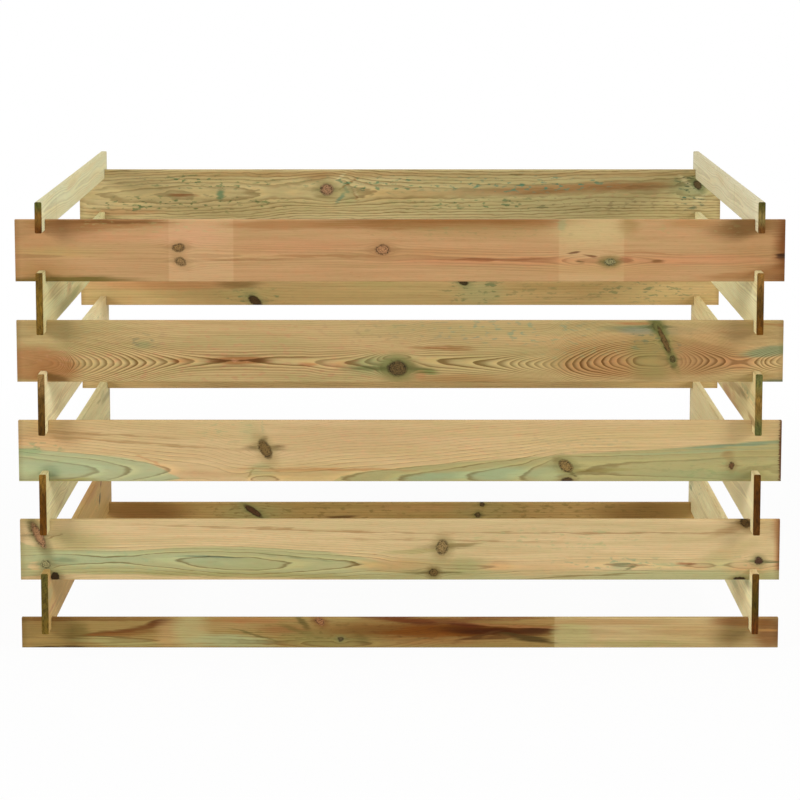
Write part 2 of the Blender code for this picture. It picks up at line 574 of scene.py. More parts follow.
# %% [markdown]
# ### Knots
#
# A branch that was alive when the trunk closed round it is reddish and tight; a dead one is dark, with
# a black rim. Both show their own fine rings, and both stain the wood beside them: a soft halo, and
# thin whiskers that run along the grain.


# %% Knots
def lay_knots(recipe, look, colour, point, x, quick, seed):
    """Lay halo, whiskers and face of each knot; returns the colour and where the hard faces are."""
    z = recipe.split(point)[2]
    wobble = mottle(recipe, point, (7, 5, 4), seed + 8)
    crumb = mottle(recipe, point, (2.6, 2.6, 2.2), seed + 10)
    uneven = recipe.add(
        "ShaderNodeCombineXYZ",
        {"X": x + wobble * 2.6 + crumb * 1.5, "Z": z + quick * 0.8 - wobble * 1.8 + crumb * 1.1},
    )
    hard = None
    for knot_x, knot_z, length, tall, tilt, _, face, halo, share in look["knots"]:
        wide = max(length, tall)
        narrow = min(length, tall)
        whisker = oval(recipe, uneven, knot_x, knot_z, narrow * 5, narrow * 0.45)
        whisker = whisker.rising(1.3, 0.1, share * 0.8)
        around = oval(recipe, uneven, knot_x, knot_z, length * 1.9, tall * 1.7, tilt).rising(1.5, 0.5, share)
        colour = blend(recipe, colour, paint(halo), around)
        colour = blend(recipe, colour, paint(halo, 0.8), whisker)
        own = oval(recipe, uneven, knot_x, knot_z, length, tall, tilt)
        mask = own.rising(1.28, 0.80, 0.95)
        growth = (own * (0.3 * wide)).math("FRACT").rising(0.3, 0.9, 0.4)
        rim = own.rising(0.45, 1.0, 0.7) * (wobble + crumb).rising(-0.9, 0.5)
        shade = growth + rim + crumb.rising(-0.1, 0.4, 0.5)
        face_colour = blend(recipe, paint(face, 1.15), paint(face, 0.45), shade)
        colour = blend(recipe, colour, face_colour, mask)
        hard = mask if hard is None else hard + mask
    return colour, hard


print("knots ready")


# %% The whole material
def pine(name, centre, turn, size, notes, seed):
    """A board's material. Centre, turn and size are the board's own, so its wood stays on it."""
    look = {**PLAIN_BOARD, **notes}
    material = bpy.data.materials.new(name)
    material.use_nodes = True
    recipe = Recipe(material.node_tree)
    shader = material.node_tree.nodes["Principled BSDF"]
    half_length, half_height = size[0] * HALF_IN_MM, size[2] * HALF_IN_MM

    # where we are on the board, in millimetres
    place = recipe.add("ShaderNodeTexCoord", output="Object")
    point = recipe.add(
        "ShaderNodeMapping",
        {"Vector": place, "Location": centre, "Rotation": (0, 0, turn), "Scale": (MILLIMETRE,) * 3},
        vector_type="TEXTURE",
    )
    x, _, z = recipe.split(point)
    line, early, season, quick, fibre = count_rings(recipe, look, point, x, half_length, seed)

    # the spring wood, drifting between two colours, and what has stained it
    drift = mottle(recipe, point, (240, 30, 24), seed + 4).rising(-0.45, 0.45)
    colour = blend(recipe, paint(look["spring"]), paint(look["spring_too"]), drift)
    light, dark = 1 + look["uneven"], 1 - look["uneven"]
    streak = mottle(recipe, point, (150, 9, 5), seed + 9).rising(-0.5, 0.5)
    colour = tint(recipe, colour, (light, light, light), streak)
    colour = tint(recipe, colour, (dark, dark * 0.98, dark * 0.94), 1 - streak)
    colour = lay_stains(recipe, look, colour, point, x, half_length, season, quick, seed)
    cast = mottle(recipe, point, (16, 9, 8), seed + 11)
    colour = tint(recipe, colour, (1.07, 0.97, 0.95), cast.rising(0.0, 0.5, 0.6))
    colour = tint(recipe, colour, (0.95, 1.02, 0.95), cast.rising(0.0, -0.5, 0.6))

    # the lines of the years, the fibres and the knots
    colour = tint(recipe, colour, (1.22, 1.19, 1.12), early)
    colour = tint(recipe, colour, look["summer"], line)
    colour = tint(recipe, colour, (0.84, 0.79, 0.72), fibre.rising(0.0, 0.6, 0.8))
    pores = mottle(recipe, point, (11, 1.2, 1.1), seed + 12)
    colour = tint(recipe, colour, (0.84, 0.80, 0.74), pores.rising(0.1, 0.6, 0.7))
    colour = tint(recipe, colour, (1.07, 1.06, 1.05), pores.rising(-0.1, -0.6, 0.7))
    colour, hard = lay_knots(recipe, look, colour, point, x, quick, seed)

    # the ends soak up more of the treatment; the rounded top and bottom edges get a painted highlight, or
    # painted shade where the factors are below 1
    soaked = (half_length - abs(x)).rising(11.0, 0.0, 0.4)
    colour = tint(recipe, colour, (0.58, 0.50, 0.40), soaked)
    arris = (half_height - abs(z)).rising(2.2, 0.4, 0.6)
    colour = tint(recipe, colour, look["arris"], arris)
    end_grain = recipe.add("ShaderNodeAttribute", output="Fac", attribute_name="end_grain")
    end_top, end_middle, end_foot = (paint(tone) for tone in look["ends"])
    end_tone = blend(recipe, end_foot, end_middle, z.rising(-half_height * 0.8, -half_height * 0.1))
    end_tone = blend(recipe, end_tone, end_top, z.rising(half_height * 0.1, half_height * 0.8))
    end_mottle = mottle(recipe, point, (6, 2.6, 9), seed + 6, detail=3.0)
    end_tone = tint(recipe, end_tone, (0.40, 0.38, 0.28), end_mottle.rising(0.0, 0.3, 0.7))
    end_tone = tint(recipe, end_tone, (1.6, 1.5, 1.25), end_mottle.rising(-0.05, -0.35, 0.6))
    end_tone = tint(recipe, end_tone, (0.70, 0.66, 0.52), season.rising(0.5, 0.9, 0.6))
    colour = blend(recipe, colour, end_tone, end_grain)

    # planed and slightly furry, with the hard lines and knots standing out a little
    relief = fibre * 0.030 + line * -0.050 + quick * 0.02
    if hard is not None:
        relief = relief + hard * 0.08
    bump = recipe.add("ShaderNodeBump", {"Strength": 0.55, "Distance": 0.001, "Height": relief})
    roughness = 0.66 - line * 0.10 + fibre * 0.05
    for socket, wire in (("Base Color", colour), ("Normal", bump), ("Roughness", roughness)):
        material.node_tree.links.new(wire.socket, shader.inputs[socket])
    shader.inputs["Specular IOR Level"].default_value = 0.10
    return material


print("pine ready")

# %% [markdown]
# ## Notes on the boards
#
# These notes describe a bin like the one in the photograph, board by board, as its boards are seen
# from the front. Distances are in millimetres from the middle of the board, and the meaning of each
# column is in the plain board above. The boards that show well are noted one by one. Their long lists
# are written as tables: a semicolon ends a row, and a row that stops short goes on as the row above.

# %% A notebook for the boards
NOTES = {}


def table(text):
    """Read a table of numbers and colours. A short row ends as the row above it does."""
    rows = []
    for line in text.split(";"):
        row = [word if word.startswith("#") else float(word) for word in line.split()]
        rows.append((*row, *(rows[-1][len(row):] if rows else ())))
    return rows


def note(board, **facts):
    """Write down what is known about a board."""
    for kind in ("middle", "arches", "bands", "stains", "flecks", "knots"):
        if kind in facts:
            facts[kind] = table(facts[kind])
    tides = facts.get("tides", ())
    facts["tides"] = [(table(upper), table(lower), stain, share) for upper, lower, stain, share in tides]
    NOTES[board] = facts
    marks = [f"{len(facts[kind])} {kind}" for kind in ("knots", "stains") if kind in facts]
    print(f"{board}: {', '.join(marks) or 'no marks noted'}")


# %% [markdown]
# ### The top front board
#
# Pinkish and calm: the rings hardly show. Two stacking sticks kept part of it pale, and the upper
# edge has soaked up brown treatment between them. Near both ends the upper edge also carries painted
# shadow of the side boards' ends.

# %% Notes on the top front board
note(
    "front_board_5", spring="#c09568", spring_too="#ba9567", faint=0.08, ring_width=3.4, uneven=0.06,
    middle="-599 -8.6; -158 -8.4; 125 -13.7; 327 -16.1; 600 -11.8",
    arches="""
        -599 -2.4 16 10 .3; -442 -1.7 16 9 .28; -221 -1 16 9 .34; -1 -.5 14 8 .4; 62 -.2 14 8 .5;
        141 -.15 14 8 .6; 212 -.3; 259 -1.3 12 8 .45; 315 -2.4 12 8 .4; 378 -1.6; 441 -.9 14; 600 -.6""",
    knots="""
        -345 5.1 9.4 6.6 8 7.9 #80623a #a07c4e .45; -342 -17.1 8.8 6.3 -28 7.9 #846842 #9c7a4c;
        -27 1.6 11 7.9 0 7.9 #a0744e #a4784c .5; 327 -17.6 8.8 5.7 0 6.3 #847c54 #746c3a .7""",
    # the patches at -517 37.8 and 538 38.7 are partly painted shadow of the side boards' ends, partly brown
    # stain
    stains="""
        -570 2 45 46 #a87846 .3 .8 0; 560 0 50 46 #a07040; -461 42.7 100 7.9 #986838 .65 .5;
        -442 45.2 82 3.1 #6e4620 .75; 81 47.2 185 3.5 #704a24; -517 37.8 50 14 #8a5c32 .6 .6 -6;
        -174 40.7 100 7.1 #a47444 .7 .4 0; 81 41.7 185 9.4 #926434 .85; -442 22.2 63 7.9 #c69268 .5 .6;
        125 30.7 126 9.4 #a88a58 .6 .7; 355 38 16 14 #987440 .7 .6 -10; 456 43.1 38 7.9 #ae804e .7 .6 0;
        538 38.7 53 16 #704e22 .7 .6 8; 600 .9 14 69 #744016 .85 .8 0; 595 -8.7 9.4 4.1 #342012 .9 .4;
        582 -37.3 22 16 #82542c .6 .6 10; 188 -16.6 188 6.3 #be7e54 .5 .6 0; 472 -13.9 97 7.9 #c6885e;
        -158 9 100 11 #c48c62 .5 .7; -328 22.6 53 14 #d49e78; 138 -13.9 88 1.7 #925c38 .7 .5;
        -111 -8.2 88 1.6 #986a40 .6 .6; -237 -13.5 72 1.4 #96683e .5; -520 -47.1 97 6.9 #685c26 .9 .5;
        -561 -32.2 63 11 #a6804c .5 .8; -533 -2 57 6.3 #b69c62 .6 .7; 270 -3.6 8.6 1.7 #68422c .85 .4 8;
        297 -8.2 9.4 1.7 #744c30 .85 .4 -12; 281 -17.8 7.1 1.9 #685434 .85 .4 0;
        352 -14.4 11 5 #a66846 .55 .4 -10; 401 -15.8 9.4 2 #8c6038 .8 .4 0;
        385 -4.7 53 1.4 #a06c42 .5 .6 -3; 299 31.4 53 19 #cab47e .6 .7 0; 253 40.8 6.3 9.4 #929e6e .45 .5;
        315 -28.8 94 9.4 #be9460 .6 .8; 47 -4.5 94 7.9 #b28656 .5; 535 -37.4 63 4.7 #a07042 .6 .6 5""",
    flecks="""
        110 29.1 173 11 #868654 .4; -442 38 78 13 #a29e64 .35; -322 38.5 57 11 #b0ac74 .4;
        456 35.2 78 14 #a09c62 .35""",
    bands="-360.5 -259.7 #d0aa7c .5; 247.6 349.2 #ccac7a",
)

# %% [markdown]
# ### The second front board
#
# The liveliest one. Its face cuts close past the middle of the tree, so bold arches run along it
# from a heart at the left to a second one at the right, where a spike knot crosses the board.

# %% Notes on the second front board
note(
    "front_board_4", spring="#c1a371", spring_too="#b6a16d", summer=(0.34, 0.25, 0.14), faint=0.26,
    ring_width=3.3, late_start=0.5, uneven=0.07,
    middle="""
        -599 -18; -513 -19; -440 -18.3; -320 -15.4; -253 -14.7; -158 -15.7; -79 -18.9; 45 -16.8; 157 -19.3;
        252 -19.5; 315 -15; 393 -13.5; 504 -15.3; 532 -16.9; 600 -13.9""",
    arches="""
        -599 -24 44 50 .1; -542 -22 44 56 .3; -513 -14.5 44 58 .8; -486 -11.5 42 56 .95; -457 -8.9 40 40 1;
        -429 -6.6 36 28; -394 -3.9 28 18; -355 -1.6 20 10; -320 -.06 15 8; -306 .3 14; -292 .6; -253 .86;
        -218 .62; -201 .38; -158 .03; -145 -.06; -130 -.3 15 9 .9; -111 -.75 16 10; -94 -1.06;
        -76 -1.4 16 10 .85; -57 -2.1; -38 -3.1 16 10 .8; -5 -5 16 10 .6; 31 -3.9 20 16 .7; 45 -4.06 22 20 1;
        72 -4.45 24 24; 110 -5.06 24 26; 130 -5.5 24 26 .9; 149 -6.06; 170 -7.06; 195 -9.06 24 26 .85;
        222 -11.06 26 28 .8; 245 -13 34 40 .7; 269 -15.1 52 54 1; 315 -19.1 56 58; 354 -22.1 56 58 .9;
        393 -24 54 56 .5; 428 -22.6 54 56 .4; 456 -19.1 50 50 .55; 507 -14.4 42 34 .9; 532 -13.2 40 30;
        551 -13.8; 574 -16.5; 600 -19 40 30 .4""",
    knots="""
        -4 -26.8 15 12 0 13 #5c482a #6c6c3a .8; 403 38.5 10 6.3 -50 6.3 #544c28 #686a3c .85;
        414 15.9 25 4.1 -66 6.3 #624a28 #706e3a .8; 427 -12.1 5.7 4.4 -80 4.7 #544828 #787240""",
    # the patch at -527 33.1 is painted shadow of the left side board's end
    stains="""
        -253 -14 49 6.6 #96683e .95 .4 0; -145 -20.4 14 4.1 #ac7042 .7 .5; -86 -20.5 25 5.3 #b47c4e .5 .6;
        -341 -15.4 16 4.7 #b07646 .55; -577 -19.6 72 26 #a8784a .85 .28 -3;
        -542 -29 35 17 #a06e40 .6 .5 -12; -542 -42.2 24 6.3 #7a5a30 .8 .4 -10;
        -527 33.1 41 13 #968250 .4 .6 -8; -402 11.2 13 6.3 #8c9666 .5 .6 0;
        -35 -22.1 47 14 #8c9260 .75 .5 4; -45 -27.5 38 2.7 #686a3c .65 .6 0;
        37 -31.6 22 3.8 #707a42 .8 .5 -6; 31 -37.8 9.4 6.3 #ba7c52 .5 .5 0; 110 -44.1 94 6.3 #a27844 .65 .6;
        127 -50.4 14 2.8 #6a4c28 .85 .5; 70 4.9 47 2.8 #926636 .75 .5 -1; 56 10.4 38 1.4 #ceb07a .6 .4 0;
        390 -8.9 144 35 #a68250 .75 .2; 315 -24.3 69 17 #ac7a4c .5 .5 5; 396 2 35 53 #928650 .7 .4 -4;
        396 33.8 69 6.6 #78825c .85 .4 -2; 371 31.6 25 4.7 #828c7a .6 .5 0; 371 44.8 35 2 #b07444;
        472 -10.6 53 22 #a87a50 .5; 530 -16.9 25 11 #ba885a .6 .35; 579 .1 41 7.9 #808e68 .8 .4 8;
        592 -48.1 22 5.5 #5c745c .7 .5 0; 582 42.1 31 2.5 #aa7244 .5 .5 -3; 527 31.3 41 17 #9e7c4e .5 .6 -6;
        315 20.8 94 9.4 #c4a06a .5 .7 4; 428 -19.8 4.7 7.9 #4e4226 .85 .5 0; 204 -38.1 78 7.9 #bea26e .5 .8;
        472 23.6 63 7.9 #c49e6a .6 .6 -14""",
    flecks="""
        157 31.9 141 19 #7c9676 .6; -457 22.1 94 25 #96a46e .55; -426 -2.8 141 19 #be8c62 .3;
        -32 32.3 94 19 #8c9a68 .45; -402 12.7 22 13 #608460 .75; -253 6.2 345 47 #c88c68 .35;
        -237 -37.3 251 14 #be8a64 .4; 401 20.6 47 25 #607054 .6; 252 2.2 110 22 #96a070 .4""",
)

# %% [markdown]
# ### The third front board
#
# Pale above and green below: the border between them follows a ring at both ends.

# %% Notes on the third front board
note(
    "front_board_3", spring="#ceb182", spring_too="#c9af7c", faint=0.42, ring_width=2.9, late_start=0.8,
    uneven=0.05,
    middle="""
        -599 -26.9; -478 -31.3; -366 -29.6; -292 -35.5; -218 -44.6; -158 -44.5; -82 -42.8; -1 -44.2;
        118 -40.9; 200 -39.2; 315 -29.8; 472 -28; 600 -27.8""",
    arches="""
        -599 -3.9 66 90 .7; -536 -3.6 62 84 .6; -479 -3.06 54 76 .85; -454 -2.6 50 70 .6;
        -427 -2.06 46 62 1; -398 -1.6 40 56 .6; -368 -1.06 36 50 1; -331 -.7 34 46 .4; -260 -.45 30 44 .5;
        -234 -.98 26 40 .9; -212 -1.3 26 38; -182 -.9 26 40 .8; -127 -.8 34 50 .6; -82 -1.06 40 60 .9;
        -40 -1.5 46 64 .6; 3 -2.06 50 70 .9; 62 -2.6 56 76 .5; 110 -3.06 60 80 1; 157 -3.6 62 84 .6;
        192 -4.06 62 88 1; 252 -5 64 90 .5; 299 -5.06 66 92 .8; 378 -5.4 66 94 .6; 472 -5.7 68 96 .4;
        600 -6.2 70 98""",
    tides=(
        ("-607 5.2; -536 -.8; -457 -6.8; -410 -14.3; -382 -25; -360 -35.7; -331 -50.9",
         "-607 -75.9; -457 -75.6; -394 -54.1; -331 -41.7", "#acb286", 0.85),
        ("-119 -56.6; -76 -35.1; -1 -25.8; 125 -14.9; 252 -5.5; 378 2.4; 472 8.7; 606 19.7",
         "-119 -75; 606 -73.7", "#a8a06c", 0.9),
    ),
    knots="""
        -212 2.9 16 8.5 -60 9.4 #6c542e #968250 .5; 261 -23.8 12 8.5 -38 9.4 #82683c #8c844e .6;
        263 -46 8.6 3.8 0 4.7 #4a3620 #8c7848 .5; 522 -23.3 4.4 5.7 0 4.7 #604228 #927a4c .6""",
    stains="""
        -63 22 110 22 #ba966a .3 .8 0; -229 6.7 14 3.8 #624c2a .75 .8 4; -196 5.9 13 3.5 #6a5430 .75 .8 0;
        -235 -35.4 9.4 1.7 #927644 .75 .5 56; -218 -25.2 13 1.7 #967a48 .8 .5 6;
        -199 -28.5 9.4 1.7 #967a48 .7 .5 -24; -103 -29.8 91 1.9 #a68654 .7 .6 0;
        -216 16.6 7.9 4.7 #5c4426 .7 .5 30; -216 36.5 1.6 14 #b0a87a .6 .5 0;
        -552 -34.5 14 11 #687656 .7 .6; -511 -49.7 38 6.3 #928646 .75; -561 16 53 11 #d2a676 .6 .7;
        -583 .6 19 6.3 #8ca474 .6 .6; -533 -26.8 78 11 #a4b48e .5 .5; -394 -15.1 25 1.6 #c48e60 .6 .6 -24;
        -218 -32.3 19 13 #a8a876 .6 .5 0; -158 -38.4 78 9.4 #b89c64 .5 .6; 59 -41 57 6.3 #96aa82 .65 .5 3;
        157 -36.2 53 9.4 #9eb086 .7 .5 4; 239 -34.6 38 11 #a4ac7e .6 .5 6; 315 -30.6 53 3.5 #928242 .7 .5 2;
        527 9.6 82 2.5 #768e70 .7 .6 4; 472 -.5 126 1.6 #96a076 .6 .5 3; 504 -12.6 94 1.4 #929668 .5 .5 2;
        378 -22.1 94 7.9 #b0a670 .6 .6 3; 516 -6.5 9.4 6.3 #94764a .75 .5 0;
        559 -4.9 53 7.9 #aa9a64 .6 .6 5; 472 -40.2 78 9.4 #9ea270 .6 .6 0;
        270 -34.5 11 2.2 #422e1c .8 .4 -40; 248 -14.6 7.9 4.7 #6e5836 .6 .5 0;
        535 -38.6 28 9.4 #828054 .6 .6; 599 -.2 2.8 63 #5a2e1c .9 .4; -410 13.2 141 1.9 #967040 .5 .6 -4;
        -473 26.9 110 1.7 #926c3e .5 .6 -3; -127 -29.1 126 2.4 #be8c5a .6 .6 0;
        -308 -35.6 47 4.7 #c09064 .4 .7 -2; -237 31.9 13 19 #baae7a .5 .8 0; -536 31.3 47 16 #ba925c .4 .7""",
    flecks="""
        267 9.9 94 16 #96a878 .5; -260 31.8 63 22 #a0aa76; -568 5.3 38 9.4 #789668 .6;
        504 -27.9 94 19 #8c9664 .5; 47 17.1 314 31 #d6a67a .4""",
)

# %% [markdown]
# ### The fourth front board
#
# Pale, fine-grained, with a blue-green tongue at the left and a handful of small knots.

# %% Notes on the fourth front board
note(
    "front_board_2", spring="#d5ba8b", spring_too="#cab383", faint=0.34, ring_width=2.9,
    late_start=0.82, uneven=0.05,
    middle="""
        -599 -19.4; -448 -15.8; -361 -17.2; -253 -21.7; -164 -23.1; -59 -22.8; -1 -25.9; 157 -27.1;
        315 -23.6; 472 -24.8; 600 -21.3""",
    arches="""
        -599 -2.8 40 34 .5; -536 -2.6 40 34 .7; -448 -2.3 40 34 .9; -394 -2.8 40 36 .8; -361 -3.06 42 38 1;
        -316 -3.5 44 42; -253 -3.75 46 46; -205 -3.5 46 44 .9; -164 -3.06 44 40 1; -127 -2.7 42 38 .8;
        -87 -2.35 40 34 .9; -57 -2.06 36 30 1; -8 -1.65 32 26 .6; 47 -1.4 30 22 .5; 110 -1.3 28 20;
        162 -1.06 24 18 .8; 220 -.8 22 18 .4; 299 -.95 22 18 .6; 354 -1.2 22 18 .8; 393 -1; 456 -1.1;
        480 -1.3 22 18 .6; 507 -1.05 22 18 .8; 543 -1.3 22 18 .5; 600 -1.2""",
    tides=(
        ("-607 20.1; -583 7.5; -536 1.3; -457 -1.6; -410 0; -316 5.8; -158 .6; -79 -8.7; -24 -19.6; 15 -32.2",
         "-607 -44.7; -473 -39.6; -316 -42.4; -158 -45.2; 15 -54.3", "#aaaa78", 0.8),
    ),
    knots="""
        -571 23.4 22 6.6 -64 7.9 #9a7250 #70683e .7; -560 -23.2 7.9 7.2 0 6.3 #928a5e #8c885a .5;
        -546 -42.9 6.9 6.6 0 6.3 #362616 #786c3e; 67 4.3 9.1 12 -10 9.4 #887046 #8e7c4a .6;
        53 -36.8 6.6 6 0 6.3 #644e2a #746032 .8; 545 43.3 8.6 6.3 -40 6.3 #564022 #82683c .7;
        567 -17.5 6.6 6.3 0 6.3 #4a3024 #827c50 .6; 537 -46.8 9.4 3.1 0 3.1 #3c2a18 #827442""",
    stains="""
        -579 34.4 6.3 13 #5c4a2c .7 .5 20; -579 -27.2 10 5.7 #d8bc88 .95 .25 0;
        -486 -12.8 97 11 #aeb68a .7 .6; -308 -17.1 63 7.9 #a8b48c .65 .6 -4;
        -253 -23.3 88 11 #a4a26e .5 .6 -2; -442 -33.2 94 6.3 #b0a870 .5 .6 0;
        -517 15.6 50 16 #a69c64 .6 .6 -4; -546 21.9 14 1.3 #765c30 .6 .5 20;
        -533 -16 22 4.7 #78825c .6 .5 0; -294 -11.5 53 2 #62745c .75 .5 -1; 62 -30.5 88 19 #a89c68 .8 .5 0;
        107 -25.6 22 13 #a2a06a .5 .7; -13 -24.3 53 9.4 #c29862 .6; 157 -27.1 19 7.9 #c49262 .5;
        228 -31.7 78 13 #cea674; 291 -41.8 91 1.4 #766232 .6 .6 3; 349 -25.1 14 4.1 #869e7a .6 .6 0;
        365 -28.2 11 1.6 #646e46 .7 .5 20; 434 -24.1 25 2 #86966e .6 .6 0; 474 -26.4 25 5 #c49668 .5 .7;
        507 -21.5 25 13 #b0ae7a .6 .6; 579 -19 28 1.6 #5c6c46 .85 .5; 551 -30.9 35 7.9 #c89a6a .5 .6;
        595 35.5 7.9 19 #aa784a .5 .8; 28 -2.1 44 3.5 #a69a62 .7 .5 4; 97 7.5 28 2.8 #8c7848 .8 .5 3;
        28 -36.9 25 2.2 #786c3e .7 .5 0; 78 -36.8 22; -237 -40.6 220 4.7 #968a4e .55 .6 -1;
        527 35.4 35 6.3 #a88454 .6 .6 20; 519 -4.1 47 11 #baa470 .5 .7; -158 32.2 236 1.4 #966e3c .55 .6 -2;
        315 27 220 1.4 #966c3e .6 .6 0; 78 15.4 157 1.3 #a0784a .5 .6 -1; 456 -21.7 16 1.4 #966442 .8 .5 0;
        -164 -12 94 1.6 #768058 .5 .6 -6""",
    flecks="""
        252 18.9 141 19 #a0ac78 .45; 346 -21.9 94 9.4 #789874 .6; 535 -24.6 47 14 #96a06e .5;
        -473 -17.5 126 19 #96ac82 .4; -316 25.5 236 16 #d6aa7c .35""",
    bands="591 607.6 #c49062 .4; 594.2 607.6 #a0683e .45; 597 607.6 #744422 .6",
)

# %% [markdown]
# ### The lowest front board
#
# A half board, dark and patchy at the left, with a sharp edge where something lay on it.

# %% Notes on the lowest front board
note(
    "front_board_1", spring="#c7af7e", spring_too="#c1a975", faint=0.28, ring_width=3.6, waver=0.35,
    uneven=0.07,
    middle="-599 -13.5; -394 -13.1; -197 -14.4; -56 -15.8; 78 -2.3; 220 1.3; 600 -1.3",
    arches="""
        -599 -3 18 10 .4; -394 -2.06 18 9 .6; -316 -1.5 18 9 .3; -202 -1.06 16 9 .8; -158 -1.9 14 9 .6;
        -111 -2.5; -56 -2.06 14 9 .7; -1 -1.3 14 9 .5; 157 -.3 14 9 .4; 252 -.2 14 9 .3; 600 -.4""",
    knots="-127 18.8 7.9 5.3 -30 7.9 #926440 #84582e .7; -94 -10.1 4.7 3.8 0 4.7 #54482c #787648 .6",
    # the patch at -527 -6.7 is painted shadow of the left side board's end
    stains="""
        -505 22.3 141 3.1 #784e24 .7 .5 0; -473 0 31 3.8 #704822 .8 .4 6; -382 16.7 20 4.7 #5c3214 .9 .4 10;
        -511 -.1 17 14 #685c2a .6 .6 0; -429 .9 63 3.8 #805224 .7 .7 4; -410 8.4 53 3.5 #70441e .85 .5 9;
        -457 -3.3 41 2.8 #8c5a2a .6 .6 0; -527 -6.7 25 19 #826c38 .4 .7; -445 -14.9 66 6.3 #aaa268 .7 .5 -3;
        -454 -7.4 63 1.6 #70582e .75; -539 -23.3 47 2.2 #422e16 .85 .5 1; -366 -3.1 19 22 #c09c68 .6 .6 0;
        -331 .3 27 31 #b8ac76 .75 .5; -265 -12.9 63 9.4 #acb07e .75 .4 -2; -272 10.3 47 7.9 #b2925e .6 .7 0;
        -229 -2.9 38 1.6 #706438 .75 .5 -14; -183 5.5 38 6.3 #966238 .6 .6 -4;
        -237 20.3 63 3.9 #b07044 .5 .6 0; -155 17.1 16 4.7 #60542a .75 .6 -50;
        -158 2.2 35 3.1 #766836 .7 .5 -18; -62 -7.5 13 5 #706032 .75 .5 -40;
        -111 -9.3 72 13 #8c824a .7 .6 0; -60 -12.5 16 7.9 #786838 .5 .5 -20; 75 4.3 179 13 #743c02 .92 .6 0;
        144 2.8 78 6.9 #441e02 .95 .6 -2; 220 4.6 31 4.7 #48260e .9 .6 0; 28 18.3 38 5 #582810 .85 .5 -4;
        97 14.3 31 4.1 #56260e .85 .5 -6; -24 25.6 53 4.1 #602e12 .85 .5 -3; 47 20.8 94 3.1 #74401c .7 .6 0;
        157 23.5 78 2.5 #784422 .7 .5; -48 5.7 53 4.7 #7c5c2e .6 .6 4; 62 -13.9 78 4.7 #9e703e .6 .7 0;
        204 -8.7 44 4.4 #4e3c1a .9 .5 -9; 125 -5.5 35 2.8 #5c3a1a .8 .5 14; 141 -8.8 47 2.2 #5a3818 .7 .5 4;
        188 11.1 94 1.9 #aa784a .6 .6 -3; 274 -1.9 31 25 #b8ac74 .8 .35 0; 378 -18.3 94 4.7 #a89e64 .6 .6;
        315 18 126 4.7 #b08854; 532 -1.5 35 19 #7c6230 .7 .7; 541 18.4 47 7.9 #8c5c30 .75 .5;
        586 .3 25 28 #7e4c20 .8; 579 3.6 25 2.5 #be8e54 .7 .5 4; 456 5 63 7.9 #b8925e .5 .8 0""",
    flecks="-158 .6 94 19 #685c2c .3; 78 1 173 19 #543014",
    bands="-600.8 245.2 #987c42 .85",
)

# %% [markdown]
# ### The top back board
#
# Wide, strong rings and a scatter of blue-green specks.

# %% Notes on the top back board
note(
    "back_board_5", spring="#c2b080", spring_too="#b8a674", summer=(0.37, 0.3, 0.19), faint=0.9,
    ring_width=5, waver=0.6, late_start=0.62, uneven=0.08,
    middle="-600 -2.6; -411 1.1; -266 4.8; -136 10.4; -69 6.7; 191 4.8; 377 10.4; 600 14.1",
    arches="""
        -600 -1.3 60 30 .5; -567 -1.94; -496 -2.7; -444 -3 60 30 .6; -409 -3.3; -373 -3;
        -310 -2.6 60 30 .55; -266 -2.06 58 28 .6; -217 -1.6 50 24 .7; -136 -1.6 44 20; -76 -1.3 40 20 .8;
        6 -.6 40 20 .7; 136 -.5 30 20 .5; 229 -.3 24 20 .25; 377 -.2; 489 -.4 30 20 .5; 600 -1 40 20 .8""",
    knots="-137 11.3 12 11 0 17 #967254 #8a8050 .6; 557 19.7 9.4 6.3 -50 9.4 #544228 #6e764a .7",
    stains="""
        250 3 250 45 #9c9c6c .3 .8 0; -97 3 17 19 #a4a270 .6 .5 20; -111 -4.5 3.5 13 #5c8468 .75 .6 -38;
        -102 14.1 2.8 11 #7a8c64 .6 .6 34; -84 3 2.5 13 #8c683e .7 .5 20; 303 12.3 188 9 #9e764a .8 .6 2;
        424 17.9 78 7.1 #92683e .6 .6 0; 266 6.7 69 3.1 #8c683e .5 .6 6; -336 1.1 6.3 10 #587e5a .8 .6 0;
        -409 1.1 27 2.8 #9e6a42 .8 .4; -515 -30.5 63 6.3 #b0784e .5 .6; 6 3 94 9.4 #b89662 .5 .7;
        544 14.1 38 19 #8c9668 .6 .6; -180 40.2 314 4.7 #a07642 .5 .7; 377 40.2 157 4.7 #a07a48;
        -158 32.7 25 6.3 #967042 .5 .6 10; -113 32.7 14 2.8 #cebe8e .8 .5 38;
        -95 23.4 19 1.7 #8c6a3c .8 .5 32; -84 8.6 11 2.8 #ccb888 .8 .5 -62;
        -139 -2.6 19 2.4 #786238 .6 .6 -6; 541 21.6 22 3.5 #cec496 .7 .6 -40;
        563 -4.5 16 3.1 #cabe8e .7 .6 30""",
    flecks="""
        -357 25.3 126 14 #627a50 .9; 229 21.6 173 16 #62866a 1; 303 -15.6 267 14 #627c52;
        -366 -15.6 173 14 #6a7648 .9; 414 -11.9 188 19 #cca076 .5; -50 21.6 126 16 #5a805c .8;
        -496 -15.6 94 14 #687a50; 544 6.7 35 31 #4a6c54 .9; 548 21.6 25 19 #564c2e .7""",
)

# %% [markdown]
# ### The second back board
#
# Reddish at the left, greener to the right.

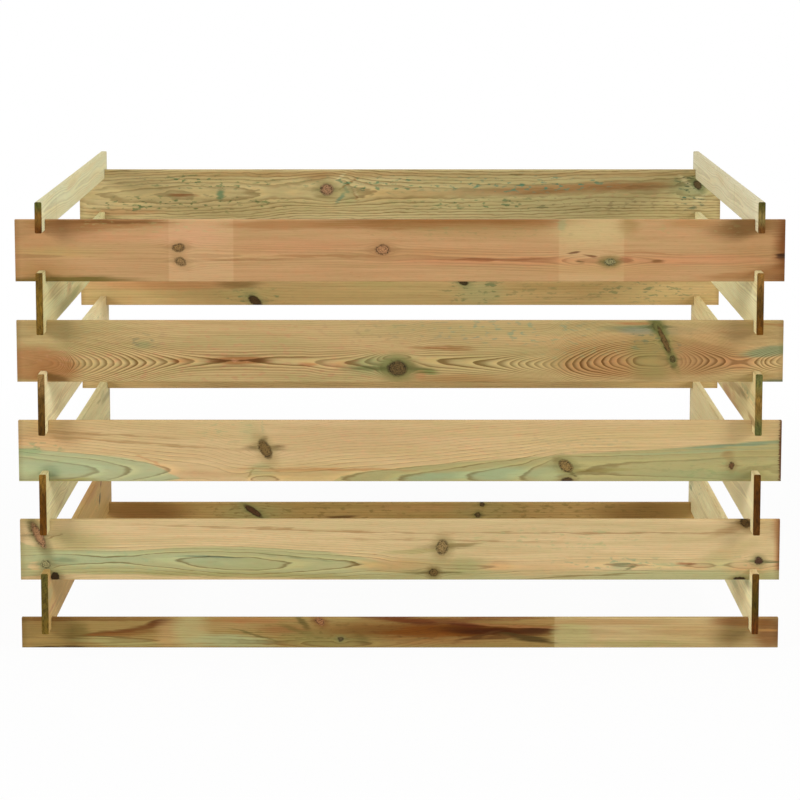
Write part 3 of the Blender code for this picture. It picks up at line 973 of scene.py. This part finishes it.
# %% Notes on the second back board
note(
    "back_board_4", spring="#ceae78", spring_too="#c3a871", faint=0.22, ring_width=5, uneven=0.08,
    middle="-601 30.9; 602 30.9",
    arches="-601 -2 20 12 .2; 5 -1; 602 -2",
    knots="-273 -40.2 14 7.9 -38 9.4 #48321c #969460 .6; 119 -4.7 9.4 6.3 -20 6.3 #3c2e1a #8c8e5c",
    stains="""
        -442 -6.5 141 13 #cc9262 .7 .5 0; -303 -8.4 38 7.9 #806438 .7 .6; -282 -29 53 9.4 #b4aa70;
        -181 -32.7 188 13 #c2a46a .6 .7; 151 -25.2 41 22 #b6ae78 .75 .5; 303 -14 94 9.4 #bc9c62 .6 .6;
        471 -21.5 78 16 #ccb47c; -47 -8.4 47 7.9 #b6a668 .5 .7""",
    flecks="""
        145 -21.5 63 25 #748256 .8; 471 -21.5 94 22 #78865c .7; -275 -32.7 63 16 #7e8a5c .8;
        303 -21.5 94 19 #908c5c .5""",
)

# %% [markdown]
# ### The lowest back board
#
# Always in the shade: dark brown with green patches.

# %% Notes on the lowest back board
note(
    "back_board_1", spring="#c09f64", spring_too="#b6995c", faint=0.25, ring_width=5, uneven=0.09,
    middle="-600 -14.6; 600 -14.6",
    arches="-600 -2 20 12 .3; 6 -1; 600 -2",
    knots="""
        -279 7.9 20 5.7 -34 7.9 #543622 #8c8a54 .7; 148 .4 5.3 5.3 0 4.7 #5a4a2c #78703e .6;
        156 20.9 4.7 3.8 0 3.1 #5a462a #78703e .5""",
    stains="""
        -482 7.9 78 19 #9e723e .8 .5 0; -279 4.1 63 19 #aaa268 .7 .6; -111 -3.4 28 2.5 #604222 .8 .5 2;
        156 7.9 57 19 #a4965e .6 .6 0; 43 15.3 94 6.3 #be905c .5; 306 7.9 78 13 #be9c64 .5 .7;
        456 7.9 88 19 #96723e .75 .6""",
    flecks="-182 7.9 251 19 #786436 .5; 306 7.9 188 19 #706234",
)

# %% [markdown]
# ### The side walls
#
# The side boards are seen along their inner faces, which are pale and a little green, and more tan
# towards the ground. Their front ends are sawn across the grain and have drunk the treatment: each
# one is a different dark brown, and changes from top to foot.

# %% Notes on the side walls
SIDE_NOTES = {
    "left_board_5": ("#dfe0b9", "#e5dcae", ("#565622", "#7a5622", "#62380c")),
    "left_board_4": ("#dedca8", "#dccc95", ("#684e1e", "#7c6022", "#70541e")),
    "left_board_3": ("#f8f0c2", "#f2e0ae", ("#967444", "#64481a", "#54380c")),
    "left_board_2": ("#e2dcaa", "#e2d4a0", ("#866226", "#5a3808", "#663e0a")),
    "left_board_1": ("#ceac6d", "#c5a669", ("#5a5222", "#645420", "#705a20")),
    "right_board_5": ("#e3debd", "#ded6b2", ("#544e1c", "#82703e", "#6a4218")),
    "right_board_4": ("#eee8b8", "#e8dca6", ("#88622e", "#583e14", "#6c440e")),
    "right_board_3": ("#e2cc92", "#e8daa4", ("#686838", "#8a6c34", "#5c5e30")),
    "right_board_2": ("#eadba7", "#eee1b0", ("#5c380a", "#502e06", "#56340c")),
    "right_board_1": ("#f8f0be", "#f1dfab", ("#604210", "#4a3a0a", "#62360c")),
}
SIDE_STAINS_AND_PAINTED_LIGHT = {
    "left_board_5": "-312 8 3 30 #bab88a .5 .6 4; -92 14 60 5 #d6be8e .4 .8 2",
    "left_board_3": "450 36 80 40 #d0bc8a .9 .6 0",
    "right_board_5": "-180 8 3 30 #bab88a .5 .6 4; 40 14 60 5 #d6be8e .4 .8 2",
    # right_board_2: the pale patch at its near end is painted light, where the lamps leave it darker
    "right_board_2": "-380 10 140 50 #fff4c8 .6 .8 0",
}
# the side boards' rounded edges get painted shade instead of a painted highlight
for name, (spring, spring_too, ends) in SIDE_NOTES.items():
    note(
        name, spring=spring, spring_too=spring_too, ends=ends, faint=0.2, arris=(0.84, 0.80, 0.74),
        arches="-500 -3 24 20 .3; 500 -5",
    )
for name in ("left_board_5", "right_board_5", "right_board_4", "right_board_2"):
    NOTES[name].update(knots=(), flecks=(), uneven=0.03)
for name, stains in SIDE_STAINS_AND_PAINTED_LIGHT.items():
    NOTES[name]["stains"] = table(stains)
NOTES["right_board_4"]["stains"] = ()

# %% [markdown]
# ### Notes drawn by lot
#
# The faces that the photograph hides still have to be good wood when the bin is turned round. For
# whatever a board has no note on, the notes are drawn by lot, from the same kinds of knot and stain,
# with a fixed seed so that every run gives the same bin.

# %% Notes drawn by lot
KNOT_FACES = ("#62482e", "#8e6246", "#543c24", "#7a5838")
STAIN_COLOURS = ("#969e68", "#ba845a", "#a0a87a", "#a07a48", "#88804a", "#c8986a")
FLECK_COLOURS = ("#7a9470", "#96a06e")
STATION_SHARES = (-1.0, -0.7, -0.45, -0.2, 0.1, 0.35, 0.6, 0.8, 1.0)
STAINS_DRAWN = 9
FLECKS_DRAWN = 2


def drawn_notes(half_length, half_height, chance):
    """Notes for a board of this size, in the same form as the ones above."""
    draw, pick = chance.uniform, chance.choice
    level, count = draw(-0.5, 0.5) * half_height, draw(-6, -2)
    arches = []
    for share in STATION_SHARES:
        count = min(count + draw(-4.5, 4.5), 0.8)
        arches.append((share * half_length, count, draw(14, 30), draw(9, 24), draw(0.3, 1)))
    stains = []
    for _ in range(STAINS_DRAWN):
        x, z, length, tall = draw(-1, 1) * half_length, draw(-1, 1) * half_height, draw(15, 150), draw(2, 12)
        tilt, soft, stain = draw(-4, 4), draw(0.3, 0.7), pick(STAIN_COLOURS)
        stains.append((x, z, length, tall, stain, draw(0.3, 0.7), soft, tilt))
    flecks = [
        (
            draw(-0.9, 0.9) * half_length, draw(-0.9, 0.9) * half_height, draw(40, 150), draw(9, 20),
            pick(FLECK_COLOURS), draw(0.3, 0.6),
        )
        for _ in range(FLECKS_DRAWN)
    ]
    knots = []
    for _ in range(chance.randint(1, 3)):
        size = draw(4, 11)
        knots.append((
            draw(-0.85, 0.85) * half_length, draw(-0.8, 0.8) * half_height,
            size * draw(1, 1.5), size * draw(0.6, 0.9), draw(-40, 40), size * 1.1,
            pick(KNOT_FACES), pick(STAIN_COLOURS[:3]), draw(0.3, 0.6),
        ))
    return {
        "middle": [(share * half_length, level + draw(-5, 5)) for share in STATION_SHARES],
        "arches": arches, "stains": stains, "flecks": flecks, "knots": knots,
        "ring_width": draw(3.2, 4.6), "faint": draw(0.3, 0.5),
    }


def notes_on(name, size, chance):
    """Everything noted on a board, filled up with notes drawn by lot."""
    drawn = drawn_notes(size[0] * HALF_IN_MM, size[2] * HALF_IN_MM, chance)
    return {**drawn, **NOTES.get(name, {})}


print("drawn notes ready")

# %% [markdown]
# ## Saw, finish and stack the boards
#
# Each board runs the same tree with its own sizes, read from the CAD node that it stands for. The
# result is turned into a plain mesh, set in its place, and given to the body that it rides on.

# %% Make the boards
HALF_BOARD_LIMIT = 0.75 * front_size.z      # a lower board is a half one, notched on one edge only
MOST_BOW = 0.0012
LOT_SEED = 20
FIRST_NOISE = 11.0          # the seed of the first board's noises; each board has its own


def saw_board(name, size, crossing, notched_edges, bow, material):
    """Run the notched_board tree once and return its result as a plain mesh."""
    holder = bpy.data.objects.new(name, bpy.data.meshes.new(name + "_blank"))
    bpy.context.scene.collection.objects.link(holder)
    modifier = holder.modifiers.new("saw", "NODES")
    modifier.node_group = NOTCHED_BOARD
    wanted = {
        "Length": size[0], "Height": size[2], "Thickness": THICKNESS, "Crossing": crossing,
        "Notch Width": NOTCH_WIDTH, "Notch Depth": NOTCH_DEPTH, "Bow": bow, "Pine": material,
        "Top Notches": "top" in notched_edges, "Bottom Notches": "bottom" in notched_edges,
    }
    for socket in NOTCHED_BOARD.interface.items_tree:
        if socket.item_type == "SOCKET" and socket.in_out == "INPUT":
            modifier[socket.identifier] = wanted[socket.name]
    bpy.context.view_layer.update()
    depsgraph = bpy.context.evaluated_depsgraph_get()
    mesh = bpy.data.meshes.new_from_object(holder.evaluated_get(depsgraph), depsgraph=depsgraph)
    bpy.data.objects.remove(holder, do_unlink=True)
    mesh.name = name
    for slot in reversed(range(len(mesh.materials))):
        if mesh.materials[slot] is None:
            mesh.materials.pop(index=slot)
    return mesh


chance = random.Random(LOT_SEED)
for count, node in enumerate(sorted(body_of_board)):
    centre, extent = middle_and_size(node)
    on_side = extent.y > extent.x
    turn = math.pi / 2 if on_side else 0.0
    size = (extent.y if on_side else extent.x, THICKNESS, extent.z)
    is_half = extent.z < HALF_BOARD_LIMIT
    edges = ("bottom",) if is_half and on_side else ("top",) if is_half else ("top", "bottom")
    name = node.replace("_board_", "_slat_")
    notes = notes_on(node, size, chance)
    material = pine(name + "_pine", tuple(centre), turn, size, notes, FIRST_NOISE + count)
    bow = chance.uniform(-MOST_BOW, MOST_BOW)
    mesh = saw_board(name, size, SIDE_CROSSING if on_side else FRONT_CROSSING, edges, bow, material)
    mesh.transform(Matrix.Translation(centre) @ Matrix.Rotation(turn, 4, "Z"))
    board = bpy.data.objects.new(name, mesh)
    bpy.context.scene.collection.objects.link(board)
    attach(board, body_of_board[node])
    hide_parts(node)
    print(f"{name}: {len(mesh.polygons)} faces, {len(mesh.materials)} material")

# %% [markdown]
# ## Light and floor
#
# The light is a plain studio's: a large soft lamp on each side in front of the bin, a weaker one
# square to each side wall, which shines in through the gaps, one overhead, and an even white sky. The
# front lamps stand far enough to the sides for each side board's end to throw a soft shadow on the
# front wall.

# %% Floor, lamps and sky
FLOOR_SIZE = 14.0
SIDE_LAMP = {"x": 4.2, "y": -3.5, "z": 2.3, "size": 1.7, "power": 121.0}
SQUARE_LAMP = {"x": 4.2, "y": 0.3, "z": 1.7, "size": 2.2, "power": 30.0}
TOP_LAMP = {"z": 3.4, "size": 3.0, "power": 36.0}
AIM = (0, 0, 0.36)          # the lamps face the middle of the bin
SKY_LIGHT = 0.30
NEAR_GLOW = 0.94            # how white the floor looks close to the bin, where its shadow lies
GLOW_FADES = (0.9, 2.4)     # metres from the middle over which it goes all white


def seen_directly(recipe):
    """1 where the camera, a reflection or a view through glass meets the surface, otherwise 0."""
    path = recipe.node("ShaderNodeLightPath")
    rays = [Wire(recipe, path.outputs[f"Is {kind} Ray"]) for kind in ("Camera", "Glossy", "Transmission")]
    return rays[0].math("MAXIMUM", rays[1]).math("MAXIMUM", rays[2])


def floor_material():
    """Pale and matt; seen directly it glows towards white, but keeps the bin's shadow."""
    material = bpy.data.materials.new("pale_floor")
    material.use_nodes = True
    recipe = Recipe(material.node_tree)
    shader = material.node_tree.nodes["Principled BSDF"]
    shader.inputs["Base Color"].default_value = (0.86, 0.86, 0.86, 1)
    shader.inputs["Roughness"].default_value = 0.9
    glow = recipe.add("ShaderNodeEmission", {"Color": (1, 1, 1, 1), "Strength": 1.0})
    place = recipe.add("ShaderNodeTexCoord", output="Object")
    away = recipe.add("ShaderNodeVectorMath", (place,), output="Value", operation="LENGTH")
    share = away.rising(*GLOW_FADES) * (1 - NEAR_GLOW) + NEAR_GLOW
    mixed = recipe.add(
        "ShaderNodeMixShader",
        (seen_directly(recipe) * share, Wire(recipe, shader.outputs[0]), glow),
    )
    out = material.node_tree.nodes["Material Output"]
    material.node_tree.links.new(mixed.socket, out.inputs["Surface"])
    return material


def add_lamp(name, place, size, power):
    """A square soft lamp that faces the bin."""
    data = bpy.data.lights.new(name, "AREA")
    data.shape, data.size, data.energy = "SQUARE", size, power
    lamp = bpy.data.objects.new(name, data)
    lamp.location = place
    direction = Vector(AIM) - lamp.location
    lamp.rotation_euler = direction.to_track_quat("-Z", "Y").to_euler()
    bpy.context.scene.collection.objects.link(lamp)


bpy.ops.mesh.primitive_plane_add(size=FLOOR_SIZE, location=(0, 0, 0))
floor = bpy.context.object
floor.name = "floor"
floor.data.materials.append(floor_material())

for kind, lamp in (("lamp", SIDE_LAMP), ("square_lamp", SQUARE_LAMP)):
    for name, side in (("left", -1), ("right", 1)):
        place = (side * lamp["x"], lamp["y"], lamp["z"])
        add_lamp(f"{kind}_{name}", place, lamp["size"], lamp["power"])
add_lamp("lamp_above", (0, 0, TOP_LAMP["z"]), TOP_LAMP["size"], TOP_LAMP["power"])

world = bpy.data.worlds.new("studio")
world.use_nodes = True
bpy.context.scene.world = world
recipe = Recipe(world.node_tree)
seen = seen_directly(recipe)
strength = seen + (1 - seen) * SKY_LIGHT
world.node_tree.nodes["Background"].inputs["Color"].default_value = (1, 1, 1, 1)
world.node_tree.links.new(strength.socket, world.node_tree.nodes["Background"].inputs["Strength"])
bpy.context.scene.view_settings.view_transform = "Standard"
print("floor, five lamps and a white sky")
